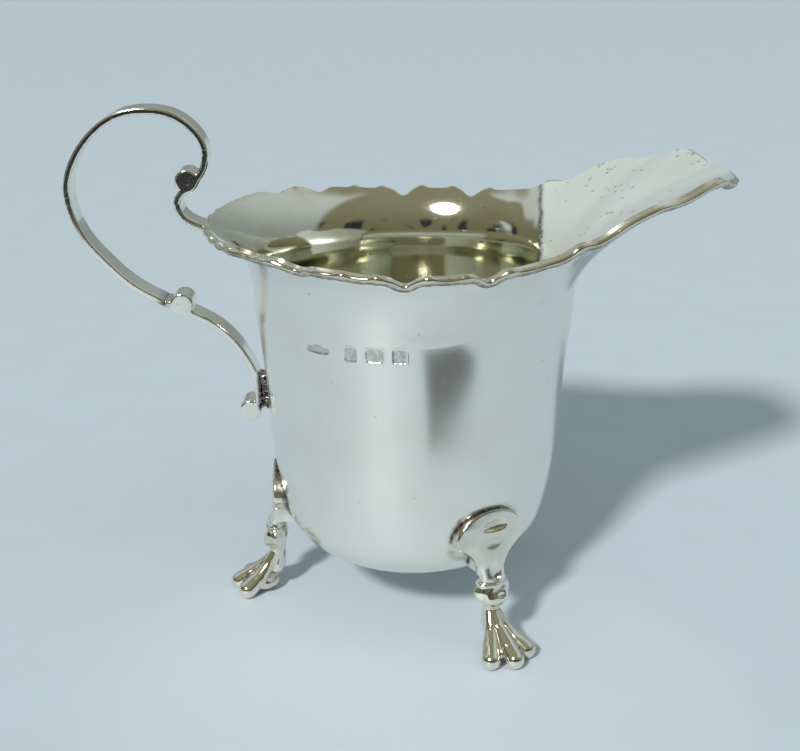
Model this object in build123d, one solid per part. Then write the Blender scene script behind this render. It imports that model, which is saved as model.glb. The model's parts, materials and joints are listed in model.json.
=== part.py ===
from build123d import *
import os
from math import acos, cos, exp, hypot, radians, sin, sqrt

# Silver cream jug: a round-bottomed sheet cup with a flared scalloped rim, a broad lip let in
# opposite the handle, a round wire along the whole edge, a flat strap handle in two soldered
# lengths and three cast feet. While the parts are modelled the cup's axis is the Z axis, +X
# points along the lip and the table is z = 0. Lengths are millimetres, angles degrees.
# A "bearing" is the angle around the axis away from the lip: 0 at the lip, 180 at the handle.

# ---- driving dimensions ----------------------------------------------------------------------
wall = 0.6                      # sheet thickness of cup and lip

flare_start = (30.75, 65.0)     # radius and height where the cup wall turns into the flare
flare_width = 9.45              # the flare is a quarter of an ellipse this wide and this tall
flare_height = 14.2
flare_end_angle = 82.0          # how much of that quarter the sheet covers before trimming
cup_profile = ((0, 9.5), (11, 10.7), (19.6, 13.7), (24.0, 17.3), (26.7, 24.5), (28.2, 34),
               (29.1, 47), (30.3, 59), flare_start)
hip = 4                         # the place in the profile where the bottom becomes the side
hip_slope = (0.208, 0, 1)        # outward for each millimetre up

rim_radius = 35.0               # plan radius of the rim at the sides
handle_swell = 3.6              # extra rim radius at the handle
swell_start = 95.0              # bearing where that starts
swell_span = 60.0               # and how many degrees later it is complete
lip_reach = 24.9                # extra rim radius at the tip of the lip
lip_spread = 31.0               # bearing by which a third of that is left
lip_rise = 11.6                 # extra rim height on the lip's cheeks
cheek_spread = 36.0             # bearing by which a third of that is left
tip_droop = 2.6                 # how far the tip sinks between the cheeks
tip_spread = 9.0                # bearing by which a third of that is left
notches = (8.5, 21.5, 36.5, 69.0, 93.0, 123.5, 139.0)   # bearings of the scallops' notches
notch_depth = 1.1
notch_width = 3.4
seam_bearing = 54.0             # the lip's side seams
blend_width = 12.0              # the lip takes the flare's shape over this many degrees
cheek_lean = 42.0               # how far the lip's edge leans out from upright, at its cheeks
tip_lean = 31.0                 # and how much further at the tip
lean_spread = 24.0              # bearing by which a third of that is left
rim_curves = 4                  # the rim is drawn in this many equal curves
wire_radius = 0.6
solder_gap = 0.04
clear = 95.0                    # reach of cutting shapes, past every part of the jug

strap_width = 5.5               # the handle strap, across the jug
strap_thick = 1.3               # the handle strap, in side view
strap_edge = 0.3                # rounding of its long edges
spur_radius = 2.2
curl_radius = 2.1
lug_centre = (-29.6, 44.6)      # solder lug between the handle's foot and the cup
lug_size = (2.4, 3.4, 6.2)

foot_bearings = {"foot_under_handle": 180.0, "foot_front": -60.0, "foot_back": 60.0}
pad_half_width = 7.5
pad_top = 29.3
pad_waist = 2.7                 # half width where the pad runs into the shank
pad_waist_height = 18.0
toe_radius = 1.8
toe_flat = 0.15                 # how much of each toe is filed away to stand level
toe_splay = 38.0
ankle = (28.7, 5.3)             # radius from the cup's axis and height of the ankle
middle_toe = 8.0                # length of the middle toe, ankle to tip centre
side_toe = 7.0

# Cross sections of a foot's shank: height, radius from the cup's axis, half depth, half width.
shank_sections = ((21.5, 27.4, 1.2, 3.0), (18.0, 28.2, 1.3, 2.6), (15.6, 28.7, 1.8, 2.6),
                  (13.8, 28.4, 2.1, 3.1), (11.8, 28.9, 2.5, 3.5), (9.9, 28.5, 1.9, 2.7),
                  (8.2, 28.1, 1.3, 1.7), (6.2, 28.4, 1.6, 2.1), (4.6, 28.9, 1.3, 1.6))

# Middle lines of the handle, in the plane of the jug, as (x, z).
upper_line = ((-37.6, 77.4), (-41.5, 78.7), (-43.9, 80.7), (-44.4, 83.0), (-42.8, 85.2),
              (-40.3, 87.4), (-38.8, 90.2), (-38.8, 93.0), (-40.6, 96.3), (-44.4, 99.1),
              (-49.2, 100.0), (-54.8, 99.1), (-59.8, 95.6), (-63.4, 90.6), (-65.0, 85.0),
              (-64.3, 80.2), (-62.2, 75.6), (-58.9, 71.5), (-54.3, 67.0), (-48.2, 63.3))
lower_line = ((-48.2, 63.3), (-43.6, 61.3), (-37.7, 57.9), (-33.0, 52.2), (-31.0, 47.4),
              (-30.7, 42.5))
upper_spur = (-42.4, 86.9)
lower_spur = (-44.7, 62.9)
curl = (-32.4, 41.0)


# ---- the rim and the flare -------------------------------------------------------------------
def smooth(x):
    x = min(max(x, 0.0), 1.0)
    return x * x * (3 - 2 * x)


def notch(bearing):
    return sum(exp(-((bearing - n) / notch_width) ** 2) for n in notches)


def height_on_flare(radius):
    across = (radius - flare_start[0]) / flare_width
    return flare_start[1] + flare_height * sqrt(1 - (1 - across) ** 2)


def rim_at(angle):
    """The sheet's edge at any angle around the axis, as radius and height."""
    bearing = 180 - abs(180 - abs(angle) % 360)
    dip = notch_depth * notch(bearing)
    reach = lip_reach * exp(-(bearing / lip_spread) ** 2.2)
    side = rim_radius + handle_swell * smooth((bearing - swell_start) / swell_span)
    side += min(reach, 0.9)
    if bearing >= seam_bearing:
        return side - dip, height_on_flare(side - dip)
    rise = lip_rise * exp(-(bearing / cheek_spread) ** 3.2)
    rise *= smooth((seam_bearing - bearing) / blend_width)
    rise -= tip_droop * exp(-(bearing / tip_spread) ** 2)
    return rim_radius + reach - 0.5 * dip, height_on_flare(side) + rise - 0.8 * dip


def polar(radius, angle, height):
    return Vector(radius * cos(radians(angle)), radius * sin(radians(angle)), height)


def lip_point(angle, t, depth):
    """A point of the lip's sheet: t = 0 at its lower seam, 1 at the rim; depth into the sheet."""

    def outside(angle, t):
        radius, height = rim_at(angle)
        low = polar(flare_start[0], angle, flare_start[1])
        high = polar(radius, angle, height)
        lean = radians(cheek_lean + tip_lean * exp(-(angle / lean_spread) ** 2))
        length = (high - low).length
        a = low + Vector(0, 0, 1) * min(0.45 * length, 8)
        b = high - polar(sin(lean), angle, cos(lean)) * 0.38 * length
        u = 1 - t
        lip = low * u ** 3 + a * 3 * t * u * u + b * 3 * t * t * u + high * t ** 3
        turn = t * acos(max(1 - (radius - flare_start[0]) / flare_width, -1))
        flare = polar(flare_start[0] + flare_width * (1 - cos(turn)), angle,
                      flare_start[1] + flare_height * sin(turn))
        share = smooth((abs(angle) - seam_bearing) / blend_width + 1)
        return lip * (1 - share) + flare * share

    step = 0.02
    upward = outside(angle, t + step) - outside(angle, t - step)
    if t == 0:
        upward = Vector(0, 0, 1)
    around = outside(angle + 0.3, t) - outside(angle - 0.3, t)
    square = around.cross(upward).normalized()
    side = polar(1, angle + 90, 0)
    square -= side * square.dot(side) * (1 - smooth((seam_bearing - abs(angle)) / 6))
    return outside(angle, t) - square.normalized() * depth


# ---- sheet parts -----------------------------------------------------------------------------
def cup_wall():
    """The cup's outside below the flare, in the XZ plane: its bottom, then its side."""
    points = [(r, 0, z) for r, z in cup_profile]
    bottom = Spline(points[:hip + 1], tangents=[(1, 0, 0), hip_slope])
    side = Spline(points[hip:], tangents=[hip_slope, (0, 0, 1)])
    return [bottom, side]


def flare_line():
    """The cup's outside above that, as far as the rim ever reaches."""
    turn = [radians(flare_end_angle * i / 6) for i in range(7)]
    end = (flare_width * sin(turn[6]), 0, flare_height * cos(turn[6]))
    return Spline([(flare_start[0] + flare_width * (1 - cos(a)), 0,
                    flare_start[1] + flare_height * sin(a)) for a in turn],
                  tangents=[(0, 0, 1), end])


def inset(line):
    """A line of the XZ plane moved by the sheet thickness towards the axis."""
    points = []
    for i in range(7):
        tangent = line % (i / 6)
        points.append(line @ (i / 6) + Vector(-tangent.Z, 0, tangent.X) * wall)
    return Spline(points, tangents=[line % 0, line % 1])


def turned(outside):
    """Sheet turned about the axis; its outside follows these lines, end to end."""
    inside = [inset(line) for line in outside]
    ends = [Line(outside[-1] @ 1, inside[-1] @ 1), Line(inside[0] @ 0, outside[0] @ 0)]
    return revolve(make_face(outside + inside + ends), Axis.Z)


def cup_solid():
    """The cup filled up to the flare, to cut neighbours back from its wall."""
    outside = cup_wall()
    top = Line(outside[1] @ 1, (0, 0, flare_start[1]))
    return revolve(make_face(outside + [top, Line(top @ 1, outside[0] @ 0)]), Axis.Z)


def flare_sector():
    """What lies within the rim in plan, from one of the lip's side seams round to the other."""
    span = (360 - 2 * seam_bearing) / rim_curves
    edges = []
    for k in range(rim_curves):
        angles = [seam_bearing + span * (k + i / 30) for i in range(31)]
        edges.append(Spline([polar(rim_at(a)[0], a, flare_start[1]) for a in angles]))
    axis_point = Vector(0, 0, flare_start[1])
    seams = [Line(edges[-1] @ 1, axis_point), Line(axis_point, edges[0] @ 0)]
    return extrude(make_face(edges + seams), clear)


def body_cup():
    return turned(cup_wall()) + (turned([flare_line()]) & flare_sector())


def spout_lip():
    steps = 54
    angles = [seam_bearing * (2 * i / steps - 1) for i in range(steps + 1)]
    sides = []
    for depth in (0, wall):
        rows = [[lip_point(a, j / 9, depth) for j in range(10)] for a in angles]
        sides.append(Face.make_surface_from_array_of_points(rows, tol=0.002, min_deg=3, max_deg=3))
    outer, inner = sides
    bands = []
    for edge in outer.edges():
        mate = min(inner.edges(), key=lambda e: (e.center() - edge.center()).length)
        bands.append(Face.make_surface_from_curves(edge, mate))
    return Solid(Shell(sides + bands))


def wire_centre(angle):
    """The middle of the edge wire, which lies against the outside of the sheet's edge."""
    away = wire_radius + solder_gap
    if abs(angle) < seam_bearing:
        return lip_point(angle, 1, -away)
    radius, height = rim_at(angle)
    turn = acos(1 - (radius - flare_start[0]) / flare_width)
    out, down = flare_height * cos(turn), flare_width * sin(turn)
    scale = away / hypot(out, down)
    return polar(radius + out * scale, angle, height - down * scale)


def rim_wire():
    rings = []
    for i in range(91):
        here = wire_centre(2 * i)
        along = wire_centre(2 * i + 0.5) - wire_centre(2 * i - 0.5)
        rings.append(Plane(here, x_dir=(0, 0, 1), z_dir=along) * Circle(wire_radius))
    half = loft(rings)
    return half + mirror(half, Plane.XZ)


# ---- handle ----------------------------------------------------------------------------------
def strap(points):
    path = Spline([(x, 0, z) for x, z in points])
    start = Plane(path @ 0, x_dir=(0, 1, 0), z_dir=path % 0)
    return sweep(start * RectangleRounded(strap_width, strap_thick, strap_edge), path=path)


def roll(place, radius):
    """A short cylinder across the strap, with softened ends."""
    drum = Pos(place[0], 0, place[1]) * Rot(90, 0, 0) * Cylinder(radius, strap_width)
    return fillet(drum.edges().filter_by(GeomType.CIRCLE), strap_edge)


def handle_upper_scroll():
    return strap(upper_line) + roll(upper_spur, spur_radius)


def handle_lower_scroll():
    lug = Pos(lug_centre[0], 0, lug_centre[1]) * Box(*lug_size)
    return strap(lower_line) + roll(lower_spur, spur_radius) + roll(curl, curl_radius) + lug


# ---- feet ------------------------------------------------------------------------------------
def foot_pad():
    """A shield that wraps the cup's wall and gets deeper towards the shank."""
    back = Spline([(r - 1, 0, z) for r, z in cup_profile[2:6]])
    face = Spline((28.1, 0, pad_top + 0.6), (28.8, 0, 26.4), (28.9, 0, 23), (28.5, 0, 19.5),
                  (27.6, 0, 16.2))
    section = make_face([face, Line(face @ 1, back @ 0), back, Line(back @ 1, face @ 0)])
    band = revolve(section, Axis.Z)
    half = Spline((0, 0, pad_top), (pad_half_width * 0.7, 0, pad_top - 1.3),
                  (pad_half_width, 0, pad_top - 5), (pad_half_width * 0.72, 0, pad_top - 8.2),
                  (pad_waist, 0, pad_waist_height), tangents=[(1, 0, 0), (-0.1, 0, -1)])
    foot = Line(half @ 1, (0, 0, pad_waist_height))
    shield = make_face([half, foot, mirror(half, Plane.YZ), mirror(foot, Plane.YZ)])
    return band & extrude(Rot(0, 0, 90) * shield, clear, dir=(1, 0, 0))


def toe(angle, length):
    """A tapering toe from the ankle down to the table."""
    start = Vector(ankle[0], 0, ankle[1])
    end = start + Vector(length * cos(radians(angle)), length * sin(radians(angle)), 0)
    end.Z = toe_radius - toe_flat
    line = Line(start, end)
    spine = Plane(start, z_dir=line % 0)
    bone = Cone(toe_radius * 0.8, toe_radius, line.length,
                align=(Align.CENTER, Align.CENTER, Align.MIN))
    return spine * bone + Pos(end) * Sphere(toe_radius) + Pos(start) * Sphere(toe_radius * 0.9)


def foot():
    rings = [Pos(r, 0, z) * Ellipse(depth, width) for z, r, depth, width in shank_sections]
    paw = toe(0, middle_toe) + toe(toe_splay, side_toe) + toe(-toe_splay, side_toe)
    whole = loft(rings) + foot_pad() + paw
    table = Box(clear, clear, clear, align=(Align.CENTER, Align.CENTER, Align.MAX))
    return whole - table


# ---- assembly --------------------------------------------------------------------------------
def main():
    cup = body_cup()
    lip = spout_lip()
    wire = rim_wire()
    filled = cup_solid()
    nodes = {
        "body_cup": cup,
        "spout_lip": lip,
        "rim_wire": wire,
        "handle_upper_scroll": handle_upper_scroll() - cup - wire,
        "handle_lower_scroll": handle_lower_scroll() - filled,
    }
    nodes["handle_upper_scroll"] -= nodes["handle_lower_scroll"]
    one_foot = foot() - filled
    for name, bearing in foot_bearings.items():
        nodes[name] = Rot(0, 0, bearing) * one_foot
    box = Compound(children=[Compound(n.solids()) for n in nodes.values()]).bounding_box()
    os.makedirs("parts", exist_ok=True)
    for name, shape in nodes.items():
        shape = Pos(-box.center().X, 0, 0) * shape
        export_step(Compound(shape.solids()), "parts/" + name + ".step")


main()
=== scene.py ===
import json
from math import cos, pi, radians, sin

import bpy
import numpy as np
from mathutils import Matrix, Vector


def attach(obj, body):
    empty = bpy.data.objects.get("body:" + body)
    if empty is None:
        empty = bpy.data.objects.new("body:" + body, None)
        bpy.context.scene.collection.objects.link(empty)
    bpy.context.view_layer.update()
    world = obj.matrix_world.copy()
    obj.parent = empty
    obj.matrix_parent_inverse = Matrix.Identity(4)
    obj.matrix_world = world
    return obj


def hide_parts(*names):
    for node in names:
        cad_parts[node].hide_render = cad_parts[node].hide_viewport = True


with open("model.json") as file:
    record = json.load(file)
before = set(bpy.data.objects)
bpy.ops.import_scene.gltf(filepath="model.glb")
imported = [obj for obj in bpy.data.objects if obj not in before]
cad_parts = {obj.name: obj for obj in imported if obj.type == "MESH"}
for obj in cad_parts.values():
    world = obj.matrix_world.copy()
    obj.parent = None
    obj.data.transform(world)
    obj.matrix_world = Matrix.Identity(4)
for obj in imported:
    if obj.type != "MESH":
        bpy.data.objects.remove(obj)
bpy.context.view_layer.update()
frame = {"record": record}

# Silver cream jug. Shapes are worked out in millimetres around the cup's own axis, +X towards the
# lip and the table at z = 0, and moved into the frame as each mesh is made. Angles are degrees.
# The cup's axis stands at the middle of the three places where the feet rest.
MM = 0.001
RESTS = [mount["pos_m"] for mount in frame["record"]["mounts"]]
AXIS = np.array([np.mean([rest[0] for rest in RESTS]), 0.0, 0.0])

# ---- sizes -----------------------------------------------------------------------------------
WALL = 0.6
FLARE_RADIUS = 30.75            # where the wall turns into the flare
FLARE_BOTTOM = 65.0
FLARE_WIDTH = 9.45              # the flare is a quarter of an ellipse
FLARE_HEIGHT = 14.2
CUP_PROFILE = ((0, 9.5), (11, 10.7), (19.6, 13.7), (24.0, 17.3), (26.7, 24.5), (28.2, 34),
               (29.1, 47), (30.3, 59), (FLARE_RADIUS, FLARE_BOTTOM))
RIM_RADIUS = 35.0
HANDLE_SWELL = 3.6              # extra rim radius at the handle
SWELL_START = 95.0              # bearing where that starts
SWELL_SPAN = 60.0               # and how many degrees later it is complete
LIP_REACH = 24.9                # extra rim radius at the tip of the lip
LIP_SPREAD = 31.0               # bearing by which a third of that is left
LIP_RISE = 11.6                 # extra rim height on the lip's cheeks
CHEEK_SPREAD = 36.0
TIP_DROOP = 2.6                 # how far the tip sinks between the cheeks
TIP_SPREAD = 9.0
CHEEK_LEAN = 42.0               # how far the lip's edge leans out from upright, at its cheeks
TIP_LEAN = 31.0                 # and how much further at the tip
LEAN_SPREAD = 24.0
SEAM = 54.0                     # bearing of the seams at the lip's sides
BLEND = 12.0                    # the lip takes the flare's shape over this many degrees
CREASE = 25.6                   # how far along X the lip's satin finish begins, at the flare's foot
CREASE_LEAN = 0.07              # and how much further for each millimetre up
NOTCHES = (8.5, 21.5, 36.5, 69.0, 93.0, 123.5, 139.0)
NOTCH_DEPTH = 1.2
CUSPS = (14.5, 43.0, 63.0, 76.0, 86.5, 100.5, 110.0, 130.5)
CUSP_LIFT = 0.2
BEADS = (146.5, 153.0, 160.0, 167.5, 175.0)
WIRE_OUT = 0.6                  # half-round rim moulding: half thickness and half height
WIRE_HIGH = 0.82

STRAP_WIDTH = 5.5
STRAP_THICK = 1.3
STRAP_EDGE = 0.32
UPPER_LINE = ((-37.0, 77.2), (-41.5, 78.7), (-43.9, 80.7), (-44.4, 83.0), (-42.8, 85.2),
              (-40.3, 87.4), (-38.8, 90.2), (-38.8, 93.0), (-40.6, 96.3), (-44.4, 99.1),
              (-49.2, 100.0), (-54.8, 99.1), (-59.8, 95.6), (-63.4, 90.6), (-65.0, 85.0),
              (-64.3, 80.2), (-62.2, 75.6), (-58.9, 71.5), (-54.3, 67.0), (-48.2, 63.3))
LOWER_LINE = ((-48.17, 63.29), (-43.6, 61.3), (-37.7, 57.9), (-33.0, 52.2), (-31.0, 47.4),
              (-30.7, 42.5))
UPPER_SPUR = (-42.4, 86.9)
LOWER_SPUR = (-44.7, 62.9)
SPUR_RADIUS = 2.2
CURL = (-32.4, 41.0)
CURL_RADIUS = 2.1
LUG = (-29.6, 44.6)             # solder lug between the handle and the cup
LUG_HALF = (1.2, 1.7, 3.1)

FEET = {"foot_under_handle": 180.0, "foot_front": -60.0, "foot_back": 60.0}


# ---- numbers and curves ----------------------------------------------------------------------
def smooth(x):
    x = np.clip(x, 0, 1)
    return x * x * (3 - 2 * x)


def bumps(x, places, width, power=2.0):
    return sum(np.exp(-np.abs((x - place) / width) ** power) for place in places)


def spline(points, count, start=None, end=None):
    """A smooth curve through the points, sampled evenly; start and end are unit tangents."""
    p = np.array(points, float)
    h = np.linalg.norm(np.diff(p, axis=0), axis=1)
    slope = np.diff(p, axis=0) / h[:, None]
    n = len(p)
    matrix = np.zeros((n, n))
    right = np.zeros_like(p)
    for i in range(1, n - 1):
        matrix[i, i - 1:i + 2] = h[i], 2 * (h[i - 1] + h[i]), h[i - 1]
        right[i] = 3 * (h[i] * slope[i - 1] + h[i - 1] * slope[i])
    matrix[0, :2], right[0] = ((2, 1), 3 * slope[0]) if start is None else ((1, 0), start)
    matrix[-1, -2:], right[-1] = ((1, 2), 3 * slope[-1]) if end is None else ((0, 1), end)
    tangents = np.linalg.solve(matrix, right)
    knots = np.concatenate([[0], np.cumsum(h)])
    t = np.linspace(0, knots[-1], count)
    k = np.clip(np.searchsorted(knots, t, side="right") - 1, 0, n - 2)
    u = ((t - knots[k]) / h[k])[:, None]
    a, b, m, q, step = p[k], p[k + 1], tangents[k], tangents[k + 1], h[k][:, None]
    return (a * (1 + 2 * u) * (1 - u) ** 2 + b * u * u * (3 - 2 * u)
            + step * (m * u * (1 - u) ** 2 - q * u * u * (1 - u)))


WALL_LINE = spline(CUP_PROFILE, 400, (1, 0), (0, 1))


def cup_radius(z):
    """Radius of the cup's outside at a height; below the cup it is less than nothing."""
    return np.interp(z, [8.0] + list(WALL_LINE[:, 1]), [-8.0] + list(WALL_LINE[:, 0]))


def waviness(angle, z):
    """How far hand-worked sheet strays from a true round."""
    a = np.radians(angle)
    wave = np.sin(2 * a + 0.7 + z / 31) + 0.6 * np.sin(5 * a + z / 9) * np.sin(z / 13 + 1)
    return 0.035 * wave * smooth((z - 10) / 15)


# ---- meshes ----------------------------------------------------------------------------------
class Mesh:
    """Collects grids of points into one welded mesh in the frame."""

    def __init__(self):
        self.points, self.faces, self.slots, self.count = [], [], [], 0

    def add(self, points, faces, slot=0):
        self.points.append(np.reshape(points, (-1, 3)))
        self.faces += (np.asarray(faces) + self.count).tolist()
        self.slots.append(np.full(len(faces), slot))
        self.count += len(self.points[-1])

    def grid(self, points, flip=False, slot=0, wrap=False):
        rows, cols = points.shape[:2]
        index = np.arange(rows * cols).reshape(rows, cols)
        if wrap:
            index = np.hstack([index, index[:, :1]])
        quads = np.stack([index[:-1, :-1], index[:-1, 1:], index[1:, 1:], index[1:, :-1]], -1)
        quads = quads.reshape(-1, 4)
        self.add(points, quads[:, ::-1] if flip else quads, slot)

    def build(self, name, materials, tarnish_and_painted_shade=None, weld=True, paint=None):
        mesh = bpy.data.meshes.new(name)
        points = np.concatenate(self.points) * MM + AXIS
        mesh.from_pydata(points.tolist(), [], self.faces)
        slots = np.concatenate(self.slots)
        if paint:
            first = np.concatenate(self.points)[[face[0] for face in self.faces]]
            slots = paint(slots, *first.T)
        mesh.polygons.foreach_set("material_index", slots)
        for material in materials:
            mesh.materials.append(material)
        piece = bpy.data.objects.new(name, mesh)
        bpy.context.scene.collection.objects.link(piece)
        bpy.context.view_layer.objects.active = piece
        if weld:
            modifier = piece.modifiers.new("weld", "WELD")
            modifier.merge_threshold = 2e-6
            bpy.ops.object.modifier_apply(modifier=modifier.name)
        piece.data.shade_smooth()
        piece.data.set_sharp_from_angle(angle=radians(50))
        # Per-point darkening kept as an attribute: solder, tarnish and darker marks, and painted shade
        # under the moulding and where the feet meet the cup.
        if tarnish_and_painted_shade:
            flat = np.empty(len(piece.data.vertices) * 3)
            piece.data.vertices.foreach_get("co", flat)
            values = tarnish_and_painted_shade(*((flat.reshape(-1, 3) - AXIS) / MM).T)
            layer = piece.data.attributes.new("tarnish_and_painted_shade", "FLOAT", "POINT")
            layer.data.foreach_set("value", np.clip(values, 0, 1).astype(np.float32))
        return piece


def near(x, y, z, place, reach):
    """1 at a place, fading to nothing about reach away."""
    gap = (x - place[0]) ** 2 + (y - place[1]) ** 2 + (z - place[2]) ** 2
    return np.exp(-gap / reach ** 2)


def surface(field, low, high, step):
    """Quads on the zero level of a distance field, negative inside, by surface nets."""
    axes = [np.arange(a, b + step, step) for a, b in zip(low, high)]
    size = [len(axis) for axis in axes]
    d = field(*np.meshgrid(*axes, indexing="ij"))
    cells = tuple(n - 1 for n in size)
    total, hits = np.zeros(cells + (3,)), np.zeros(cells)
    offsets = [(i, j, k) for i in (0, 1) for j in (0, 1) for k in (0, 1)]

    def corner(o):
        return d[o[0]:o[0] + cells[0], o[1]:o[1] + cells[1], o[2]:o[2] + cells[2]]

    for o in offsets:
        for axis in range(3):
            if o[axis]:
                continue
            far = tuple(v + (i == axis) for i, v in enumerate(o))
            a, b = corner(o), corner(far)
            cross = (a < 0) != (b < 0)
            t = np.where(cross, a / np.where(cross, a - b, 1), 0)
            for i in range(3):
                total[..., i] += cross * (o[i] + (t if i == axis else 0))
            hits += cross
    active = hits > 0
    index = np.full(cells, -1)
    index[active] = np.arange(active.sum())
    where = np.argwhere(active)
    points = np.array(low) + step * (where + total[active] / hits[active][:, None])
    faces = []
    for axis in range(3):
        u, v = (axis + 1) % 3, (axis + 2) % 3
        before = np.take(d, np.arange(size[axis] - 1), axis) < 0
        beyond = np.take(d, np.arange(1, size[axis]), axis) < 0
        for sign in (True, False):
            at = np.argwhere((before != beyond) & (before == sign))
            at = at[(at[:, u] > 0) & (at[:, v] > 0)]
            ring = []
            for du, dv in ((-1, -1), (0, -1), (0, 0), (-1, 0)):
                cell = at.copy()
                cell[:, u] += du
                cell[:, v] += dv
                ring.append(index[tuple(cell.T)])
            quads = np.stack(ring, -1)
            faces.append(quads if sign else quads[:, ::-1])
    for _ in range(3):
        eps = 0.02
        value = field(*points.T)
        slope = np.stack([(field(*(points + eps * np.eye(3)[i]).T) - value) / eps
                          for i in range(3)], -1)
        size_2 = np.maximum((slope ** 2).sum(1), 0.05)
        points = points - np.clip(value / size_2, -step, step)[:, None] * slope * 0.9
    return points, np.concatenate(faces)


# ---- the sheet above the flare's foot --------------------------------------------------------
def rim_at(angle):
    """Radius and height of the sheet's edge, and how far a cusp lifts it there."""
    bearing = np.abs(angle)
    dip = NOTCH_DEPTH * bumps(bearing, NOTCHES, 3.5, 2.6)
    cusp = CUSP_LIFT * bumps(bearing, CUSPS, 2.4)
    reach = LIP_REACH * np.exp(-(bearing / LIP_SPREAD) ** 2.2)
    side = RIM_RADIUS + HANDLE_SWELL * smooth((bearing - SWELL_START) / SWELL_SPAN)
    side = side + np.minimum(reach, 0.9)
    radius = np.where(bearing < SEAM, RIM_RADIUS + reach - 0.5 * dip, side - dip)
    rise = LIP_RISE * np.exp(-(bearing / CHEEK_SPREAD) ** 3.2) * smooth((SEAM - bearing) / BLEND)
    rise -= TIP_DROOP * np.exp(-(bearing / TIP_SPREAD) ** 2) + 0.8 * dip
    base = np.where(bearing < SEAM, side, side - dip)
    across = (base - FLARE_RADIUS) / FLARE_WIDTH
    height = FLARE_BOTTOM + FLARE_HEIGHT * np.sqrt(1 - (1 - across) ** 2)
    return radius, height + np.where(bearing < SEAM, rise, 0), cusp


def around(radius, angle, z):
    a = np.radians(angle)
    return np.stack(np.broadcast_arrays(radius * np.cos(a), radius * np.sin(a), z), -1)


def upper_outside(angle, t):
    """Outside of flare and lip, t = 0 at the foot of the flare and 1 at the rim."""
    radius, height, cusp = rim_at(angle)
    lift = cusp * t ** 12
    top = np.arccos(np.clip(1 - (radius - FLARE_RADIUS) / FLARE_WIDTH, -1, 1))
    flare = around(FLARE_RADIUS + FLARE_WIDTH * (1 - np.cos(top * t)), angle,
                   FLARE_BOTTOM + FLARE_HEIGHT * np.sin(top * t) + lift)
    low = around(FLARE_RADIUS, angle, FLARE_BOTTOM + 0 * t)
    high = around(radius, angle, height + 0 * t)
    length = np.linalg.norm(high - low, axis=-1, keepdims=True)
    lean = np.radians(CHEEK_LEAN + TIP_LEAN * np.exp(-(angle / LEAN_SPREAD) ** 2))
    a = low + np.array([0, 0, 1]) * np.minimum(0.45 * length, 8)
    b = high - around(np.sin(lean), angle, np.cos(lean) + 0 * t) * 0.38 * length
    s = (t + 0 * angle)[..., None]
    lip = (low * (1 - s) ** 3 + 3 * a * s * (1 - s) ** 2 + 3 * b * s * s * (1 - s) + high * s ** 3)
    lip[..., 2] += lift
    share = smooth((np.abs(angle) - SEAM) / BLEND + 1)[..., None] + 0 * s
    return lip * (1 - share) + flare * share


def upper_sheet(angle, t, depth):
    """A point of flare or lip, depth below its outside; angle and t are grids that match."""
    step = 0.01
    up = upper_outside(angle, np.minimum(t + step, 1)) - upper_outside(angle, np.maximum(t - step, 0))
    up[(t + 0 * angle) < step] = (0, 0, 1)
    side = around(1.0, angle + 90, 0 * t)
    along = upper_outside(angle + 0.2, t) - upper_outside(angle - 0.2, t)
    normal = np.cross(along, up)
    normal /= np.linalg.norm(normal, axis=-1, keepdims=True)
    keep = smooth((SEAM - np.abs(angle)) / 8)[..., None]
    normal -= side * (normal * side).sum(-1, keepdims=True) * (1 - keep)
    normal /= np.linalg.norm(normal, axis=-1, keepdims=True)
    return upper_outside(angle, t) - normal * depth


# ---- cup -------------------------------------------------------------------------------------
# Blank punches in a row: bearing, height, half width and half height, and squareness.
PUNCHES = ((-124.6, 61.3, 2.7, 0.75, 2.4), (-112.0, 61.4, 1.25, 1.35, 5), (-103.5, 61.5, 1.65, 1.3, 6),
           (-95.2, 61.6, 1.25, 1.35, 8))
PUNCH_DEPTH = 0.14
SATIN_BOTTOM = 58.0             # how far down the lip's satin finish reaches inside the cup


def punched(angle, z):
    """How deep the punch marks go below the cup's outside."""
    depth = 0
    for bearing, height, half_width, half_height, power in PUNCHES:
        u = np.abs(np.radians(angle - bearing) * FLARE_RADIUS / half_width)
        v = np.abs((z - height) / half_height)
        s = (u ** power + v ** power) ** (1 / power)
        floor = 1 + 0.25 * np.sin(7 * u + height) * np.sin(6 * v + bearing)
        depth = depth + PUNCH_DEPTH * (smooth((1.04 - s) / 0.2) * floor
                                       - 0.35 * np.exp(-((s - 1.12) / 0.09) ** 2))
    return depth


def flare_radius(z):
    rise = np.clip((z - FLARE_BOTTOM) / FLARE_HEIGHT, 0, 1)
    flare = FLARE_RADIUS + FLARE_WIDTH * (1 - np.sqrt(1 - rise ** 2))
    return np.where(z < FLARE_BOTTOM, cup_radius(z), flare)


def outside_radius(angle, z):
    """Radius of the outside of flare and lip at a bearing, to the nearest degree, and height."""
    radius = np.zeros_like(z)
    whole = np.round(np.abs(angle))
    for bearing in np.unique(whole):
        line = upper_outside(np.full(60, bearing), np.linspace(0, 1, 60))
        here = whole == bearing
        radius[here] = np.interp(z[here], line[:, 2], np.hypot(line[:, 0], line[:, 1]))
    return radius


def crease_darkening(x, y, z):
    """Darker along the crease inside, on either side of the lip."""
    inside = np.hypot(x, y) < outside_radius(np.degrees(np.arctan2(y, x)), z) - WALL / 2
    line = CREASE + (z - FLARE_BOTTOM) * CREASE_LEAN + 0.1 * np.sin(1.7 * z)
    return np.exp(-((x - line) / 0.38) ** 2) * inside * (np.abs(y) > 12)


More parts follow.
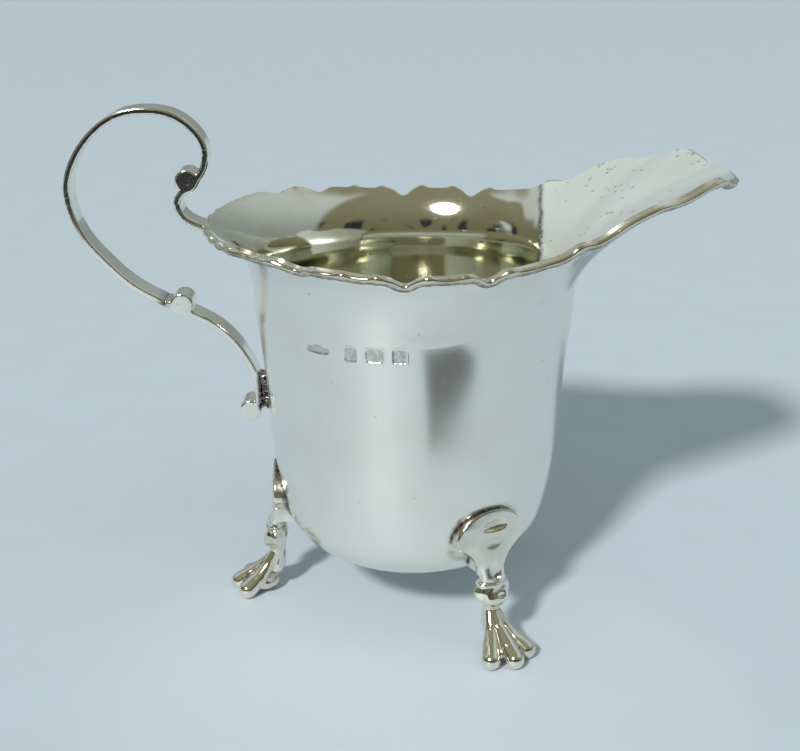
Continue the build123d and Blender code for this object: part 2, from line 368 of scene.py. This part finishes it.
def cup_darkening_and_painted_shade(x, y, z):
    """Darker around the handle's joints and in the punch marks; painted shade around the feet, where
    their pads meet the cup.
    """
    outside = np.hypot(x, y) > flare_radius(z) - WALL / 2
    angle = np.degrees(np.arctan2(y, x))
    halo = near(x, y, z, (-30.0, 0, 44.6), 3.6) + near(x, y, z, (-37.0, 0, 77.0), 2.5)
    for bearing in FEET.values():
        away = (angle - bearing + 180) % 360 - 180
        gap = pad_outline(np.radians(away) * 28.0, z)
        halo = halo + 0.7 * np.exp(-(gap / 0.55) ** 2) * (z > 17.5)
    marks = 0.4 * np.clip(punched(angle, z) / PUNCH_DEPTH, 0, 1)
    return (halo + marks) * outside


def satin_within(slots, x, y, z):
    """Of the polished inside, what lies beyond the crease is satin, down to a little height."""
    beyond = x > CREASE + (z - FLARE_BOTTOM) * CREASE_LEAN
    return np.where((slots == 1) & beyond & (z > SATIN_BOTTOM), 2, slots)


def build_cup(materials):
    fine_from, fine_to = PUNCHES[0][0] - 7, PUNCHES[-1][0] + 4
    angles = np.concatenate([np.arange(-SEAM, -SEAM + 360, 0.5),
                             np.arange(fine_from, fine_to, 0.5) + 360.25])
    angles = np.unique(np.where(angles > 180, angles - 360, angles))
    line = WALL_LINE[np.unique(np.round(np.linspace(3, 399, 110)).astype(int))]
    heights = np.concatenate([line[:, 1], np.arange(59.6, 63.4, 0.16)])
    heights = np.unique(heights[heights > WALL_LINE[3, 1] - 1e-6])
    mesh = Mesh()
    a, z = np.meshgrid(angles, heights)
    blend = smooth((FLARE_BOTTOM - z) / 3)
    radius = cup_radius(z) + (waviness(a, z) - punched(a, z)) * blend
    outer = around(radius, a, z)
    mesh.grid(outer, wrap=True)
    slope = np.gradient(WALL_LINE, axis=0)
    slope /= np.linalg.norm(slope, axis=1, keepdims=True)
    within = WALL_LINE + np.stack([-slope[:, 1], slope[:, 0]], 1) * WALL
    within = within[np.unique(np.round(np.linspace(3, 399, 100)).astype(int))]
    a, r = np.meshgrid(angles, within[:, 0])
    z = np.meshgrid(angles, within[:, 1])[1]
    wave = waviness(a, z) * smooth((FLARE_BOTTOM - z) / 3)
    inner = around(r + wave, a, z)
    mesh.grid(inner, wrap=True, flip=True, slot=1)
    for ring, slot, flip in ((outer[0], 0, True), (inner[0], 1, False)):
        hub = np.concatenate([ring, [ring.mean(0)]])
        n = len(ring)
        index = np.arange(n)
        fan = np.stack([index, np.roll(index, -1), np.full(n, n)], -1)
        mesh.add(hub, fan[:, ::-1] if flip else fan, slot)
    within_lip = angles[np.abs(angles) <= SEAM]
    rim = np.stack([around(cup_radius(FLARE_BOTTOM), within_lip, FLARE_BOTTOM),
                    around(cup_radius(FLARE_BOTTOM) - WALL, within_lip, FLARE_BOTTOM)])
    mesh.grid(rim)
    rest = np.concatenate([angles[angles >= SEAM], angles[angles <= -SEAM] + 360])
    folded = np.where(rest > 180, rest - 360, rest)
    a, t = np.meshgrid(folded, np.linspace(0, 1, 30))
    flare_out, flare_in = upper_sheet(a, t, 0), upper_sheet(a, t, WALL)
    mesh.grid(flare_out)
    mesh.grid(flare_in, flip=True, slot=1)
    mesh.grid(np.stack([flare_out[-1], flare_in[-1]]))
    mesh.grid(np.stack([flare_out[:, 0], flare_in[:, 0]]), flip=True)
    mesh.grid(np.stack([flare_out[:, -1], flare_in[:, -1]]))
    return mesh.build("cup", materials, cup_darkening_and_painted_shade, paint=satin_within)


# ---- lip and rim moulding --------------------------------------------------------------------
def build_lip(materials):
    mesh = Mesh()
    a, t = np.meshgrid(np.arange(-SEAM, SEAM + 0.1, 0.5), np.linspace(0, 1, 80))
    outer, inner = upper_sheet(a, t, 0), upper_sheet(a, t, WALL)
    mesh.grid(outer)
    mesh.grid(inner, flip=True, slot=1)
    mesh.grid(np.stack([outer[-1], inner[-1]]))
    mesh.grid(np.stack([inner[0], outer[0]]))
    mesh.grid(np.stack([outer[:, 0], inner[:, 0]]), flip=True)
    mesh.grid(np.stack([outer[:, -1], inner[:, -1]]))
    return mesh.build("pouring_lip", materials, crease_darkening, paint=satin_within)


def wire_underside_shade(x, y, z):
    """Painted shade under the moulding, where it meets the sheet."""
    height = rim_at(np.degrees(np.arctan2(y, x)))[1]
    return 0.75 * smooth((height - 0.2 - z) / 0.5)


def build_wire(materials):
    """The moulding along the rim, a half-round that swells at each cusp."""
    angle = np.arange(-180, 180, 0.4)
    one = np.ones_like(angle)
    edge = upper_sheet(angle, one, 0.0)
    out = edge - upper_sheet(angle, one, 0.1)
    out /= np.linalg.norm(out, axis=-1, keepdims=True)
    centre = edge + out * (WIRE_OUT + 0.02)
    along = np.roll(centre, -1, 0) - np.roll(centre, 1, 0)
    along /= np.linalg.norm(along, axis=-1, keepdims=True)
    out -= along * (out * along).sum(-1, keepdims=True)
    out /= np.linalg.norm(out, axis=-1, keepdims=True)
    up = np.cross(out, along)
    swell = 1 + 0.35 * bumps(np.abs(angle), CUSPS, 1.3) + 0.3 * bumps(np.abs(angle), BEADS, 1.8)
    swell += 0.05 * np.sin(np.radians(angle) * 37 + 1)
    rings = []
    for turn in np.arange(0, 2 * pi, pi / 10):
        rings.append(centre + swell[:, None] * (out * WIRE_OUT * cos(turn) + up * WIRE_HIGH * sin(turn)))
    mesh = Mesh()
    grid = np.stack(rings)
    mesh.grid(np.concatenate([grid, grid[:1]]), wrap=True, flip=True)
    return mesh.build("rim_moulding", materials, wire_underside_shade)


# ---- distance fields -------------------------------------------------------------------------
def join(a, b, k=0.3):
    """Union of two distances with a blend about k wide."""
    h = np.clip(0.5 + 0.5 * (b - a) / k, 0, 1)
    return b * (1 - h) + a * h - k * h * (1 - h)


def cut(a, b, k=0.3):
    """What is left of a when b is taken away."""
    return -join(-a, b, k)


def bone(x, y, z, start, end, r_start, r_end):
    a, d = np.array(start, float), np.array(end, float) - np.array(start, float)
    t = np.clip(((x - a[0]) * d[0] + (y - a[1]) * d[1] + (z - a[2]) * d[2]) / (d @ d), 0, 1)
    gap = np.sqrt((x - a[0] - t * d[0]) ** 2 + (y - a[1] - t * d[1]) ** 2
                  + (z - a[2] - t * d[2]) ** 2)
    return gap - (r_start + t * (r_end - r_start))


def egg(x, y, z, centre, radii):
    p = [(v - c) / r for v, c, r in zip((x, y, z), centre, radii)]
    k = np.sqrt(sum(v * v for v in p))
    g = np.sqrt(sum((v / r) ** 2 for v, r in zip(p, radii))) + 1e-9
    return k * (k - 1) / g


# ---- handle ----------------------------------------------------------------------------------
def line_gap(x, z, line):
    """Distance in the handle's plane from a centre line with square ends."""
    flat = np.stack([np.ravel(x), np.ravel(z)], -1)
    best = np.full(len(flat), 1e9)
    for i in range(len(line) - 1):
        a, d = line[i], line[i + 1] - line[i]
        t = np.clip(((flat - a) @ d) / (d @ d), 0, 1)
        gap = flat - a - t[:, None] * d
        best = np.minimum(best, (gap ** 2).sum(1))
    ends = []
    for end, inner in ((line[0], line[1]), (line[-1], line[-2])):
        d = (end - inner) / np.linalg.norm(end - inner)
        close = ((flat - end) ** 2).sum(1) < 4
        ends.append(np.where(close, (flat - end) @ d, -9))
    return np.sqrt(best).reshape(np.shape(x)), np.maximum(*ends).reshape(np.shape(x))


def strap_field(points, rolls):
    line = spline(points, 90)

    def field(x, y, z):
        if x.ndim == 3:
            gap, end = line_gap(x[:, 0], z[:, 0], line)
            gap, end = gap[:, None], end[:, None]
        else:
            gap, end = line_gap(x, z, line)
        flat = np.maximum(gap - STRAP_THICK / 2, end)
        for (cx, cz), radius in rolls:
            flat = join(flat, np.hypot(x - cx, z - cz) - radius, 0.7)
        q = flat + STRAP_EDGE
        w = np.abs(y) - STRAP_WIDTH / 2 + STRAP_EDGE
        outside = np.sqrt(np.maximum(q, 0) ** 2 + np.maximum(w, 0) ** 2)
        return outside + np.minimum(np.maximum(q, w), 0) - STRAP_EDGE

    return field


def handle_grime(x, y, z):
    """Solder and tarnish where the handle's lengths meet each other, the rim and the cup."""
    joint = np.exp(-(((x - LOWER_LINE[0][0]) ** 2 + (z - LOWER_LINE[0][1]) ** 2) / 1.1 ** 2))
    lug = smooth((x - LUG[0] + 1.6) / 0.8) * smooth((z - 40.6) / 1.0) * smooth((48.6 - z) / 1.0)
    return 0.75 * joint + lug + 0.8 * near(x, 0 * y, z, (-37.6, 0, 77.4), 1.6)


def build_handle(name, points, rolls, materials, lug=None):
    strap = strap_field(points, rolls)

    def field(x, y, z):
        d = strap(x, y, z)
        if lug is None:
            return d
        gaps = [np.abs(v - c) - h for v, c, h in zip((x, y, z), (lug[0], 0, lug[1]), LUG_HALF)]
        lump = np.maximum(np.maximum(gaps[0], gaps[1]), gaps[2])
        lump = lump - 0.2 + 0.1 * np.sin(5.3 * z + 1) * np.sin(6.1 * y + 3 * x)
        lump = lump + 0.07 * np.sin(9 * z + 4 * y)
        d = join(d, lump, 0.35)
        return np.maximum(d, cup_radius(z) + 0.02 - np.hypot(x, y))

    places = list(points) + [place for place, _ in rolls]
    low, high = np.min(places, 0) - SPUR_RADIUS - 1, np.max(places, 0) + SPUR_RADIUS + 1
    half = STRAP_WIDTH / 2 + 0.4
    mesh = Mesh()
    mesh.add(*surface(field, (low[0], -half, low[1]), (high[0], half, high[1]), 0.2))
    return mesh.build(name, materials, handle_grime, weld=False)


# ---- feet ------------------------------------------------------------------------------------
# Sections of a foot's shank: height, radius from the cup's axis, half depth, half width.
SHANK = ((23.0, 27.2, 1.0, 3.2), (20.0, 27.9, 1.3, 2.75), (18.0, 28.3, 1.4, 2.6),
         (16.0, 28.6, 1.7, 2.6), (15.2, 28.5, 1.9, 2.85), (14.85, 28.5, 2.25, 3.55),
         (14.45, 28.5, 2.0, 3.15), (13.3, 28.5, 2.35, 3.7), (12.2, 28.8, 2.5, 3.5),
         (11.2, 29.0, 2.4, 2.8), (10.2, 28.7, 1.9, 1.9), (9.2, 28.3, 1.45, 1.55),
         (7.8, 28.2, 1.4, 1.7), (6.2, 28.4, 1.5, 2.1), (4.6, 28.9, 1.4, 1.8))
PAD_TOP = 29.3
PAD_WIDEST = 23.2               # height of the pad's pointed corners
PAD_WAIST = 17.6
PAD_HALF = 7.5
TOE_SPLAY = 34.0
TOE_RADIUS = 1.85
ANKLE_RADIUS = 28.7             # from the cup's axis


def shank_field(x, y, z):
    heights, *columns = np.array(SHANK)[::-1].T
    fine = np.arange(heights[0], heights[-1], 0.1)
    kernel = np.hanning(5)[1:-1] / np.hanning(5).sum()
    radius, depth, width = [
        np.interp(z, fine[1:-1], np.convolve(np.interp(fine, heights, c), kernel, "valid"))
        for c in columns]
    turn = np.arctan2(y / width, (x - radius) / depth)
    facet = 1 + 0.05 * np.cos(6 * turn) * smooth((z - 9.8) / 1) * smooth((14.9 - z) / 1)
    k = np.sqrt(((x - radius) / depth) ** 2 + (y / width) ** 2) * facet
    side = (k - 1) * np.minimum(depth, width) * 0.9
    return np.maximum(side, np.maximum(z - heights[-1], heights[0] - z))


def pad_outline(y, z):
    """About the distance from the shield's outline: a domed top, pointed corners, a narrow waist."""
    dome = np.sqrt((y / PAD_HALF) ** 2 + ((z - PAD_WIDEST) / (PAD_TOP - PAD_WIDEST)) ** 2)
    up = np.clip((z - PAD_WAIST) / (PAD_WIDEST - PAD_WAIST), 0, 1)
    half = 2.6 + (PAD_HALF - 2.6) * up ** 1.7
    return np.where(z > PAD_WIDEST, (dome - 1) * (PAD_TOP - PAD_WIDEST), (np.abs(y) - half) * 0.7)


def pad_field(x, y, z):
    """The shield against the cup, with a raised edge around a dished face."""
    reach = np.hypot(x, y)
    face = np.interp(z, (15.0, 16.2, 19.5, 23.0, 26.4, 29.9), (27.0, 27.8, 28.9, 29.2, 28.95, 28.3))
    outline = np.maximum(pad_outline(y, z), 16.5 - z)
    slab = np.maximum(reach - face, cup_radius(z) - 0.3 - reach)
    pad = -join(-slab, -outline, 0.35)
    pad = cut(pad, egg(reach, y, z, (32.2, 0, 23.6), (3.6, 6.2, 4.6)), 0.3)
    return cut(pad, egg(reach, y, z, (29.6, 0.3, 26.2), (1.5, 3.0, 1.5)), 0.35)


def foot_field(x, y, z):
    body = join(shank_field(x, y, z), pad_field(x, y, z), 0.9)
    body = cut(body, egg(x, y, z, (30.15, 0, 18.0), (0.85, 1.3, 2.5)), 0.2)
    body = cut(body, egg(x, y, z, (31.7, 0.6, 12.7), (0.9, 1.0, 0.7)), 0.2)
    paw = egg(x, y, z, (32.0, 0, 2.4), (3.7, 3.6, 2.1))
    for splay, reach in ((0, 7.9), (TOE_SPLAY, 7.1), (-TOE_SPLAY, 7.1)):
        c, s = cos(radians(splay)), sin(radians(splay))
        stops = ((0.1, 9.0, 1.0), (2.3, 5.9, 1.25), (reach - 2.5, 3.5, 1.65),
                 (reach, TOE_RADIUS, TOE_RADIUS))
        spots = [(ANKLE_RADIUS + d * c, (d + 0.9 * (d < 1)) * s, h) for d, h, _ in stops]
        for i in range(3):
            toe = bone(x, y, z, spots[i], spots[i + 1], stops[i][2], stops[i + 1][2])
            paw = join(paw, toe, 0.25)
    for side in (-1, 1):
        groove = bone(x, y, z, (30.9, 0.95 * side, 7.0), (37.6, 2.7 * side, 1.4), 0.1, 0.35)
        paw = cut(paw, groove, 0.35)
    body = join(body, paw, 0.4)
    wall = cup_radius(z) + 0.02 - np.hypot(x, y)
    return np.maximum(np.maximum(body, wall), -z)


def foot_painted_shade(x, y, z):
    """Painted shade where the pad's edge meets the cup."""
    gap = np.hypot(x, y) - cup_radius(z)
    return smooth((1.3 - gap) / 1.0) * (z > 16)


def build_feet(materials):
    points, faces = surface(foot_field, (23.5, -8.6, -0.6), (40.2, 8.6, 30.2), 0.17)
    feet = []
    for name, bearing in FEET.items():
        c, s = cos(radians(bearing)), sin(radians(bearing))
        turned = points @ np.array([[c, s, 0], [-s, c, 0], [0, 0, 1]])
        mesh = Mesh()
        mesh.add(turned, faces)
        feet.append(mesh.build(name + "_cast", materials, foot_painted_shade, weld=False))
        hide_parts(name)
    return feet


# ---- materials -------------------------------------------------------------------------------
class Nodes:
    """A material's or the world's node tree, wired by short calls."""

    def __init__(self, tree):
        self.tree = tree
        tree.nodes.clear()

    def new(self, kind, inputs=None, **settings):
        node = self.tree.nodes.new("ShaderNode" + kind)
        for key, value in settings.items():
            setattr(node, key, value)
        for key, value in (inputs or {}).items():
            if isinstance(value, bpy.types.NodeSocket):
                self.tree.links.new(value, node.inputs[key])
            else:
                node.inputs[key].default_value = value
        return node

    def math(self, kind, a, b=0.0, c=0.0):
        return self.new("Math", {0: a, 1: b, 2: c}, operation=kind).outputs[0]

    def band(self, value, low, high, to_low=0.0, to_high=1.0):
        """Smoothly from to_low to to_high as value goes from low to high."""
        inputs = {"Value": value, "From Min": low, "From Max": high, "To Min": to_low, "To Max": to_high}
        return self.new("MapRange", inputs, interpolation_type="SMOOTHSTEP").outputs[0]

    def mix(self, share, a, b):
        node = self.new("Mix", {0: share, 6: a, 7: b}, data_type="RGBA")
        return node.outputs[2]

    def noise(self, where, scale, detail=3.0, rough=0.5, distort=0.0):
        inputs = {"Vector": where, "Scale": scale, "Detail": detail, "Roughness": rough,
                  "Distortion": distort}
        return self.new("TexNoise", inputs).outputs[0]

    def place(self, turn=(0, 0, 0), scale=(1, 1, 1)):
        """Object coordinates in millimetres, turned and stretched."""
        where = self.new("TexCoord").outputs["Object"]
        inputs = {"Vector": where, "Rotation": turn, "Scale": [s * 1000 for s in scale]}
        return self.new("Mapping", inputs).outputs[0]


def scratches(n, turn, length, spacing, keep, width=0.22):
    """Thin lines about length long in one direction; 1 on a line, 0 elsewhere."""
    where = n.place(turn, (1 / length, 1 / spacing, 1 / spacing))
    cells = n.new("TexVoronoi", {"Vector": where, "Scale": 1.0, "Randomness": 1.0},
                  feature="F1").outputs
    line = n.band(cells["Distance"], 0.0, width, 1.0, 0.0)
    chosen = n.math("LESS_THAN", n.new("SeparateColor", {0: cells["Color"]}).outputs[0], keep)
    return n.math("MULTIPLY", line, chosen)


def silver(name, colour, rough, scratch, haze, tarnish, grain, hollows=0.0, frost=0.0, dents=0.0):
    """Worn silver: scratches in several directions, hazy patches, pits and warm tarnish."""
    material = bpy.data.materials.new(name)
    material.use_nodes = True
    n = Nodes(material.node_tree)
    lines = 0.0
    for turn, length, spacing, keep in (
            ((0.3, 0.2, 0.5), 3.2, 0.22, 0.035), ((1.1, 0.4, 2.0), 2.4, 0.18, 0.03),
            ((0.1, 1.3, 1.2), 5.0, 0.25, 0.015), ((0.6, 2.2, 0.1), 1.6, 0.16, 0.035)):
        lines = n.math("MAXIMUM", lines, scratches(n, turn, length, spacing, keep))
    where = n.place()
    cloud = n.noise(where, 0.09, 4.0, 0.6)
    fine = n.noise(where, 2.2, 5.0, 0.65)
    brushed = n.noise(n.place((0, 0, 0.0), (1.2, 1.2, 8.0)), 1.0, 4.0, 0.6)
    dots = n.new("TexVoronoi", {"Vector": where, "Scale": 0.42, "Randomness": 1.0}).outputs
    pits = n.math("MULTIPLY", n.band(dots["Distance"], 0.05, 0.11, 1.0, 0.0),
                  n.math("LESS_THAN", n.new("SeparateColor", {0: dots["Color"]}).outputs[1], 0.16))
    stain = n.band(cloud, 0.42, 0.75, 0.0, tarnish)
    warm = tuple(c * k for c, k in zip(colour, (0.80, 0.74, 0.58))) + (1.0,)
    dark = (0.10, 0.085, 0.06, 1.0)
    tint = n.mix(stain, tuple(colour) + (1.0,), warm)
    tint = n.mix(n.math("MULTIPLY", pits, 0.55), tint, dark)
    tint = n.mix(n.math("MULTIPLY", lines, scratch * 0.22), tint, dark)
    if dents:
        marks = n.math("MAXIMUM", scratches(n, (0.2, 0.3, 0.7), 2.0, 0.8, 0.10, 0.5),
                       scratches(n, (0.9, 0.1, 2.1), 1.4, 0.7, 0.08, 0.5))
        marks = n.math("MULTIPLY", marks, n.band(n.noise(where, 0.11, 2.0), 0.42, 0.52))
        tint = n.mix(n.math("MULTIPLY", marks, dents), tint, dark)
    # Darkens the colour by the mesh's attribute: solder, tarnish and darker marks, and painted shade
    # under the moulding and where the feet meet the cup.
    tarnish_and_painted_shade = n.new("Attribute", attribute_name="tarnish_and_painted_shade").outputs["Fac"]
    tarnish_and_painted_shade = n.math("MULTIPLY", tarnish_and_painted_shade, n.band(n.noise(where, 1.1, 3.0), 0.25, 0.6, 0.35, 1.0))
    tint = n.mix(tarnish_and_painted_shade, tint, (0.045, 0.04, 0.04, 1.0))
    if hollows:
        point = n.new("NewGeometry").outputs["Pointiness"]
        deep = n.math("MULTIPLY", n.band(point, 0.40, 0.50, 1.0, 0.0), hollows)
        tint = n.mix(deep, tint, (0.30, 0.24, 0.13, 1.0))
        rough_deep = n.math("MULTIPLY", deep, 0.25)
    else:
        rough_deep = 0.0
    rough_deep = n.math("MULTIPLY_ADD", tarnish_and_painted_shade, 0.22, rough_deep)
    roughness = n.math("ADD", n.band(fine, 0.3, 0.75, rough - haze, rough + haze),
                       n.math("MULTIPLY", lines, scratch * 0.25))
    roughness = n.math("ADD", n.math("ADD", roughness, rough_deep), n.band(cloud, 0.35, 0.7, 0, haze))
    height = n.math("ADD", n.math("MULTIPLY", lines, -scratch), n.math("MULTIPLY", brushed, grain))
    height = n.math("ADD", height, n.math("MULTIPLY", pits, -0.6))
    bump = n.new("Bump", {"Height": height, "Strength": 0.35, "Distance": 0.00004}).outputs[0]
    shader = n.new("BsdfPrincipled", {"Base Color": tint, "Metallic": 1.0 - frost,
                                      "Roughness": roughness, "Normal": bump})
    n.new("OutputMaterial", {"Surface": shader.outputs[0]})
    return material


def table_top():
    material = bpy.data.materials.new("table_top")
    material.use_nodes = True
    n = Nodes(material.node_tree)
    where = n.place()
    cloud = n.noise(where, 0.06, 4.0)
    tint = n.mix(n.band(cloud, 0.35, 0.65), (0.565, 0.635, 0.71, 1), (0.575, 0.647, 0.725, 1))
    # Painted pool of light: the table is a little paler within about 60 mm of a spot in front of the
    # jug.
    painted_pool_centre = (AXIS[0] / MM, -42.0, 0.0)
    away = n.new("VectorMath", {0: where, 1: painted_pool_centre}, operation="DISTANCE").outputs["Value"]
    tint = n.mix(n.band(away, 50.0, 66.0, 1.0, 0.0), tint, (0.60, 0.67, 0.74, 1))
    shader = n.new("BsdfPrincipled", {"Base Color": tint, "Roughness": 0.55})
    shader.inputs["Specular IOR Level"].default_value = 0.3
    n.new("OutputMaterial", {"Surface": shader.outputs[0]})
    return material


# ---- surroundings ----------------------------------------------------------------------------
def build_floor():
    mesh = bpy.data.meshes.new("floor")
    half = 4.0
    mesh.from_pydata([(-half, -half, 0), (half, -half, 0), (half, half, 0), (-half, half, 0)], [],
                     [(0, 1, 2, 3)])
    mesh.materials.append(table_top())
    floor = bpy.data.objects.new("floor", mesh)
    bpy.context.scene.collection.objects.link(floor)


def lamp(name, toward, distance, size, power, colour, aim=(0, 0, 0.05)):
    """A lamp that stands in direction toward from the jug, at a distance, facing it."""
    light = bpy.data.lights.new(name, "AREA")
    light.energy, light.color = power, colour
    light.shape, light.size = "DISK", size
    holder = bpy.data.objects.new(name, light)
    aim = Vector(aim)
    holder.location = aim + Vector(toward).normalized() * distance
    holder.rotation_euler = (aim - holder.location).to_track_quat("-Z", "Y").to_euler()
    bpy.context.scene.collection.objects.link(holder)
    return holder


def sun(name, toward, width, strength, colour):
    """A distant lamp in direction toward, as many degrees wide as given."""
    light = bpy.data.lights.new(name, "SUN")
    light.energy, light.color, light.angle = strength, colour, radians(width)
    holder = bpy.data.objects.new(name, light)
    holder.rotation_euler = Vector(toward).to_track_quat("Z", "Y").to_euler()
    bpy.context.scene.collection.objects.link(holder)


def dark_card(name, low, high, height, top=1.0):
    """A dark card flat in front of the jug, seen only in the silver, and only from under top."""
    mesh = bpy.data.meshes.new(name)
    corners = [(low[0], low[1]), (high[0], low[1]), (high[0], high[1]), (low[0], high[1])]
    mesh.from_pydata([(AXIS[0] + x, y, height) for x, y in corners], [], [(0, 1, 2, 3)])
    material = bpy.data.materials.new(name)
    material.use_nodes = True
    n = Nodes(material.node_tree)
    dark = n.new("BsdfDiffuse", {"Color": (0.03, 0.028, 0.03, 1)}).outputs[0]
    clear = n.new("BsdfTransparent").outputs[0]
    here = n.new("NewGeometry").outputs
    _, y, z = n.new("SeparateXYZ", {0: here["Position"]}).outputs
    _, to_y, to_z = n.new("SeparateXYZ", {0: here["Incoming"]}).outputs
    away = n.math("DIVIDE", n.math("SUBTRACT", -FLARE_RADIUS * MM, y), to_y)
    seen_from = n.math("MULTIPLY_ADD", to_z, away, z)
    shader = n.new("MixShader", {0: n.math("GREATER_THAN", seen_from, top), 1: dark, 2: clear})
    n.new("OutputMaterial", {"Surface": shader.outputs[0]})
    mesh.materials.append(material)
    card = bpy.data.objects.new(name, mesh)
    bpy.context.scene.collection.objects.link(card)
    card.visible_camera = card.visible_shadow = card.visible_diffuse = False


def build_world():
    """A plain room: pale sweep behind the jug, olive walls and ceiling in front and above."""
    world = bpy.data.worlds.new("room")
    bpy.context.scene.world = world
    world.use_nodes = True
    n = Nodes(world.node_tree)
    way = n.new("TexCoord").outputs["Generated"]
    x, y, z = n.new("SeparateXYZ", {0: way}).outputs
    slant = n.math("MULTIPLY_ADD", z, 0.35, n.math("MULTIPLY_ADD", x, 0.2, y))
    pale = n.math("MULTIPLY", n.band(slant, 0.0, 0.12), n.band(z, 0.80, 0.92, 1.0, 0.0))
    wall = n.mix(n.band(z, 0.0, 0.9), (0.20, 0.195, 0.115, 1), (0.32, 0.32, 0.225, 1))
    clutter = n.noise(n.new("Mapping", {"Vector": way, "Scale": (3.5, 3.5, 1.6)}).outputs[0], 1.3, 1.0)
    shadowy = n.math("MULTIPLY", n.band(clutter, 0.53, 0.57), n.band(z, 0.30, 0.42, 1.0, 0.0))
    wall = n.mix(shadowy, wall, (0.03, 0.033, 0.045, 1))
    sweep = n.mix(n.band(z, 0.1, 0.75), (0.33, 0.38, 0.37, 1), (0.66, 0.72, 0.73, 1))
    colour = n.mix(pale, wall, sweep)
    rays = n.new("LightPath").outputs
    colour = n.mix(rays["Is Diffuse Ray"], colour, (0.36, 0.44, 0.42, 1))
    colour = n.mix(rays["Is Camera Ray"], colour, (0.64, 0.74, 0.79, 1))
    shader = n.new("Background", {"Color": colour, "Strength": 0.8})
    n.new("OutputWorld", {"Surface": shader.outputs[0]})


def build_camera():
    """At the viewing angle of the reference: 20 degrees down, square to the handle's plane."""
    lens = 61.92
    down, turn, roll = radians(20.0), radians(-0.2), radians(-0.5045)
    place = Vector((AXIS[0] - 1.93 * MM, -256 * MM, 140.34 * MM))
    forward = Vector((sin(turn) * cos(down), cos(turn) * cos(down), -sin(down)))
    right = forward.cross(Vector((0, 0, 1))).normalized()
    up = right.cross(forward)
    level, upright = right * cos(roll) + up * sin(roll), up * cos(roll) - right * sin(roll)
    matrix = Matrix((level, upright, -forward)).transposed().to_4x4()
    matrix.translation = place
    camera = bpy.data.objects.new("camera", bpy.data.cameras.new("camera"))
    camera.data.lens = lens
    camera.data.sensor_width = 36.0
    camera.data.clip_start = 0.01
    camera.matrix_world = matrix
    bpy.context.scene.collection.objects.link(camera)
    bpy.context.scene.camera = camera


# ---- the jug ---------------------------------------------------------------------------------
satin = silver("satin_silver_outside", (0.84, 0.845, 0.79), 0.2, 0.8, 0.012, 0.2, 0.03, frost=0.1)
lip_satin = silver("satin_silver_lip", (0.68, 0.73, 0.705), 0.36, 1.5, 0.02, 0.12, 0.05,
                   frost=0.5, dents=0.7)
mirror = silver("polished_silver_inside", (0.80, 0.80, 0.70), 0.07, 0.5, 0.02, 0.5, 0.08)
polish = silver("polished_silver_handle", (0.88, 0.86, 0.79), 0.10, 0.8, 0.02, 0.6, 0.1)
# The moulding's silver is darker and warmer than the handle's: painted shade for the dark olive it
# shows.
moulding = silver("polished_silver_moulding", (0.77, 0.74, 0.61), 0.12, 0.8, 0.02, 0.7, 0.1)
cast = silver("cast_silver_feet", (0.87, 0.85, 0.77), 0.11, 0.6, 0.03, 0.6, 0.3, hollows=0.8)

pieces = [
    (build_cup([satin, mirror, lip_satin]), "body_cup", "satin_silver"),
    (build_lip([satin, mirror, lip_satin]), "spout_lip", "satin_silver"),
    (build_wire([moulding]), "rim_wire", "polished_silver"),
    (build_handle("handle_loop", UPPER_LINE, [(UPPER_SPUR, SPUR_RADIUS)], [polish]),
     "handle_upper_scroll", "polished_silver"),
    (build_handle("handle_foot", LOWER_LINE, [(LOWER_SPUR, SPUR_RADIUS), (CURL, CURL_RADIUS)],
                  [polish], LUG), "handle_lower_scroll", "polished_silver"),
]
for piece, node, slot in pieces:
    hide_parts(node)
    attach(piece, "root")
for piece in build_feet([cast]):
    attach(piece, "root")

KEY_FROM = (-0.36, -0.74, 0.65)  # the direction that most of the light comes from
build_floor()
build_world()
sun("key", KEY_FROM, 6.5, 2.75, (1.0, 0.985, 0.97))
glow = lamp("glow", KEY_FROM, 1.5, 0.45, 4.0, (0.95, 0.98, 1.0))
glow.visible_diffuse = False
fill = lamp("fill", (0.5, -0.4, 0.9), 1.6, 1.2, 2.0, (0.93, 0.97, 1.0))
fill.visible_glossy = False
# Painted shadow: a dark card, seen only in the body's satin, stands in for a shadow on the table in
# front.
dark_card("reflected_shadow_card", (0.010, -0.114), (0.060, -0.070), 0.020, (FLARE_BOTTOM - 2) * MM)
dark_card("front_card", (-1.2, -1.6), (1.2, -0.3), 0.002)
build_camera()
bpy.context.scene.view_settings.view_transform = "Standard"
